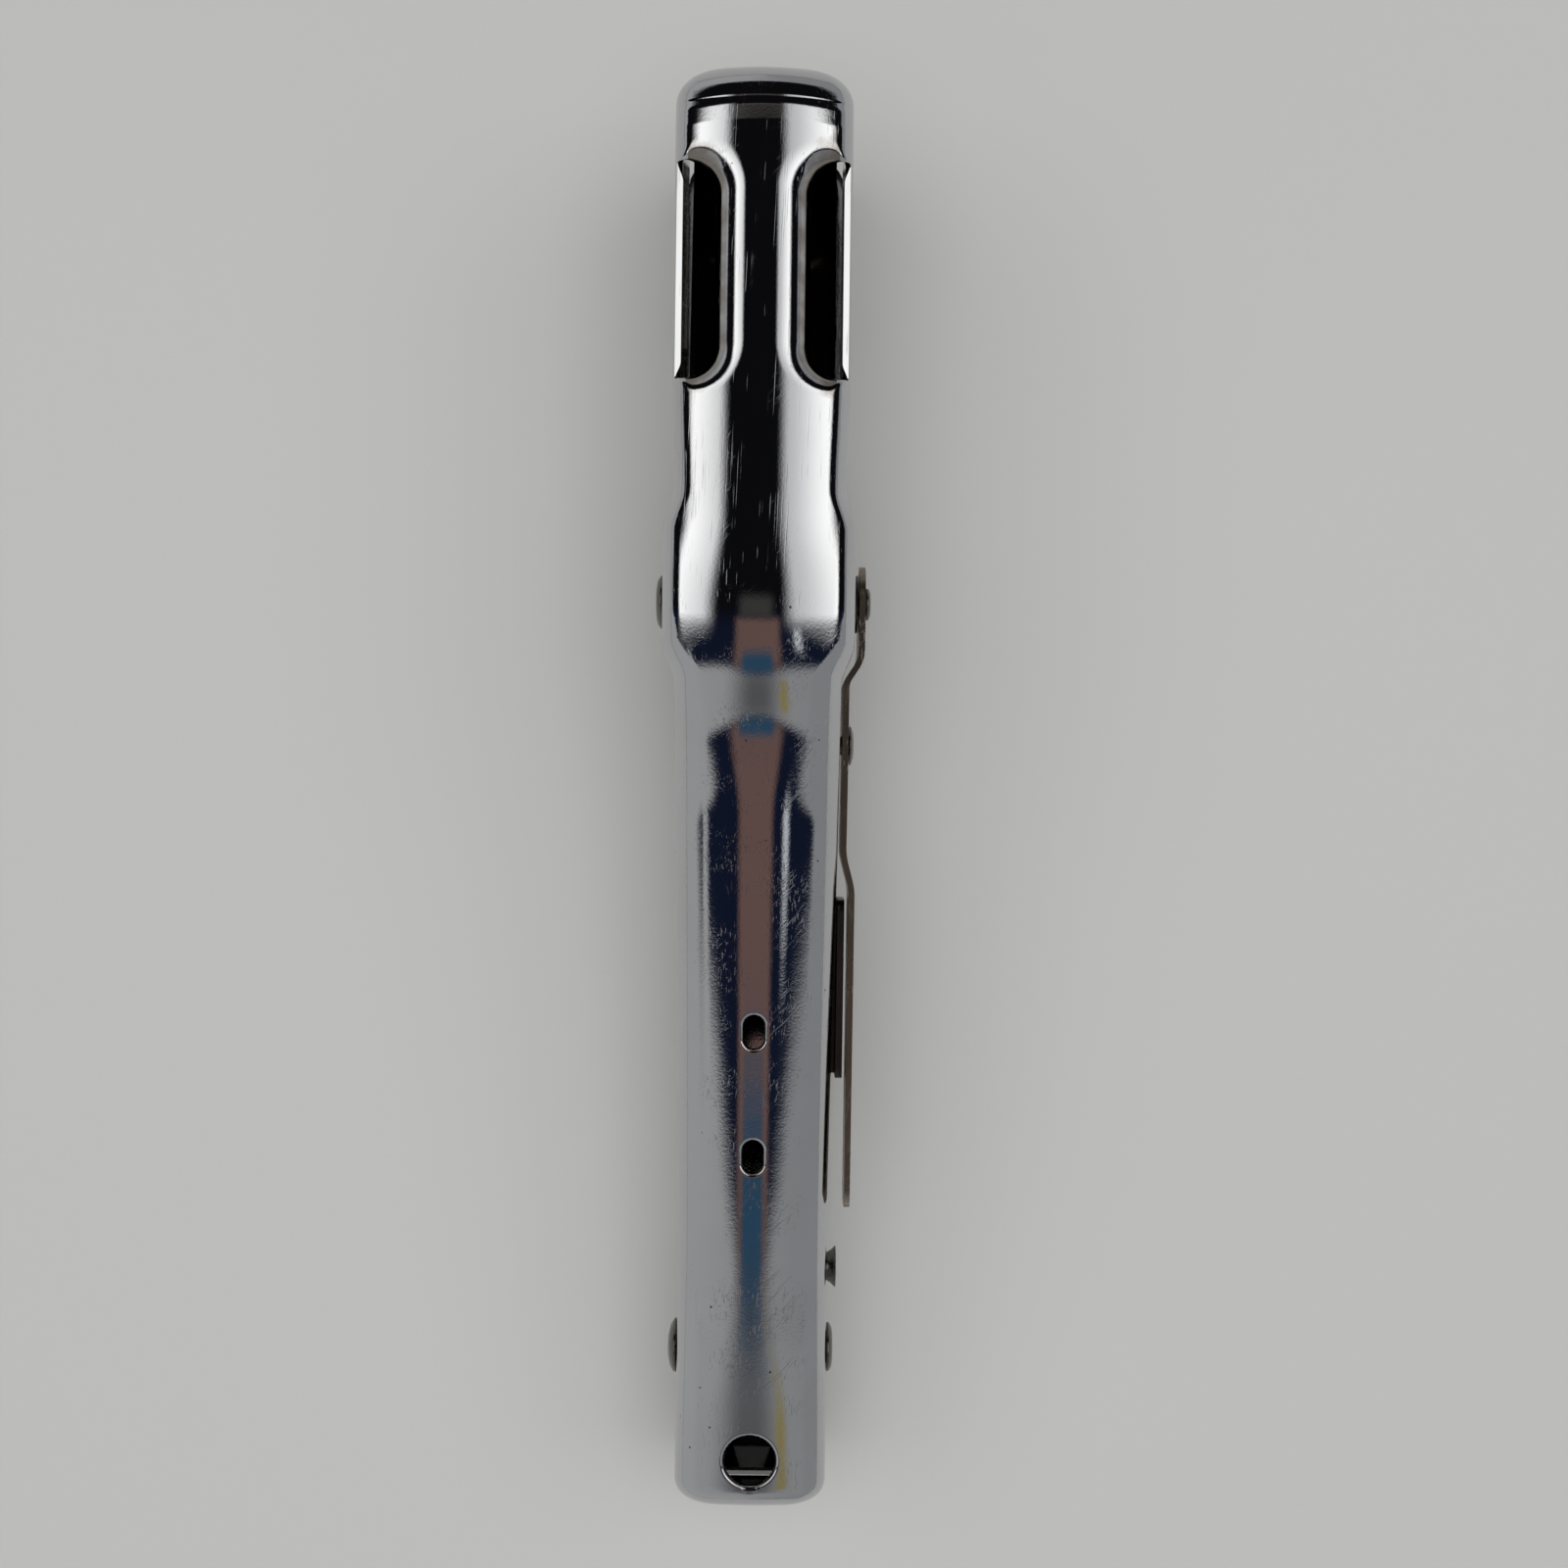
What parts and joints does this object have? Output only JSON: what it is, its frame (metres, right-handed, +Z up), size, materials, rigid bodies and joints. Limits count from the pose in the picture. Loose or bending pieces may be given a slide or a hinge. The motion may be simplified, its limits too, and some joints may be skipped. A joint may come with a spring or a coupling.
{
  "type": "plier stapler",
  "caption": "Hand plier stapler with a chromed drawn shell, windowed head, riveted spring strip, hinged lower handle, staple magazine and curved driver.",
  "frame": {"origin": "half way along the tool in its middle plane, on the surface it stands on", "axes": "+Y from the tail to the nose, +Z up through the shell's crown, +X to the side that carries the spring strip"},
  "size_m": [0.0266, 0.178, 0.042],
  "materials": {
    "chrome": "polished chrome plate, finely scratched",
    "bare_steel": "bare rolled steel",
    "dark_nickel": "worn dark nickel",
    "spring_steel": "tempered spring steel"
  },
  "bodies": {
    "frame": {"top_shell": "chrome", "anvil_frame": "chrome", "anvil_plate": "bare_steel", "anvil_rivet": "dark_nickel", "main_pivot_pin": "dark_nickel", "pivot_washer": "dark_nickel", "strip_foot": "spring_steel", "strip_rivet": "dark_nickel", "spring_anchor_pin": "dark_nickel", "handle_spring": "spring_steel", "tail_rivet": "dark_nickel", "tail_spacer": "bare_steel", "magazine_lift_spring": "spring_steel", "lift_spring_rivet": "bare_steel"},
    "lever": {"handle_lever": "chrome", "latch_ear": "dark_nickel", "latch_ear_rivet_front": "dark_nickel", "latch_ear_rivet_rear": "dark_nickel", "driver_blade": "bare_steel", "driver_rivet_left": "dark_nickel", "driver_rivet_right": "dark_nickel"},
    "magazine": {"magazine_channel": "bare_steel", "core_rail": "bare_steel", "guide_rod": "bare_steel", "magazine_end_plug": "bare_steel", "pivot_sleeve": "bare_steel"},
    "follower": {"follower": "bare_steel", "follower_spring": "spring_steel"},
    "latch": {"strip_blade": "spring_steel"}
  },
  "joints": [
    {"name": "handle_hinge", "type": "hinge", "parent": "frame", "child": "lever", "pos_m": [0, 0.0258, 0.027], "axis": [1, 0, 0], "range_deg": [0, 11], "deforming": ["handle_spring"]},
    {"name": "magazine_hinge", "type": "hinge", "parent": "frame", "child": "magazine", "pos_m": [0, 0.0258, 0.027], "axis": [1, 0, 0], "range_deg": [0, 5], "deforming": ["magazine_lift_spring"]},
    {"name": "follower_slide", "type": "slide", "parent": "magazine", "child": "follower", "axis": [0, -1, 0], "range_m": [0, 0.052], "stiffness_N_per_m": 40, "springref_m": -0.02, "deforming": ["follower_spring"]},
    {"name": "strip_flex", "type": "hinge", "parent": "frame", "child": "latch", "pos_m": [0.0112, -0.0045, 0.0246], "axis": [0, 0, 1], "range_deg": [0, 5], "stiffness_Nm_per_rad": 0.1}
  ],
  "couplings": [
    {"joint": "magazine_hinge", "follows": "handle_hinge", "ratio": 0.45}
  ]
}
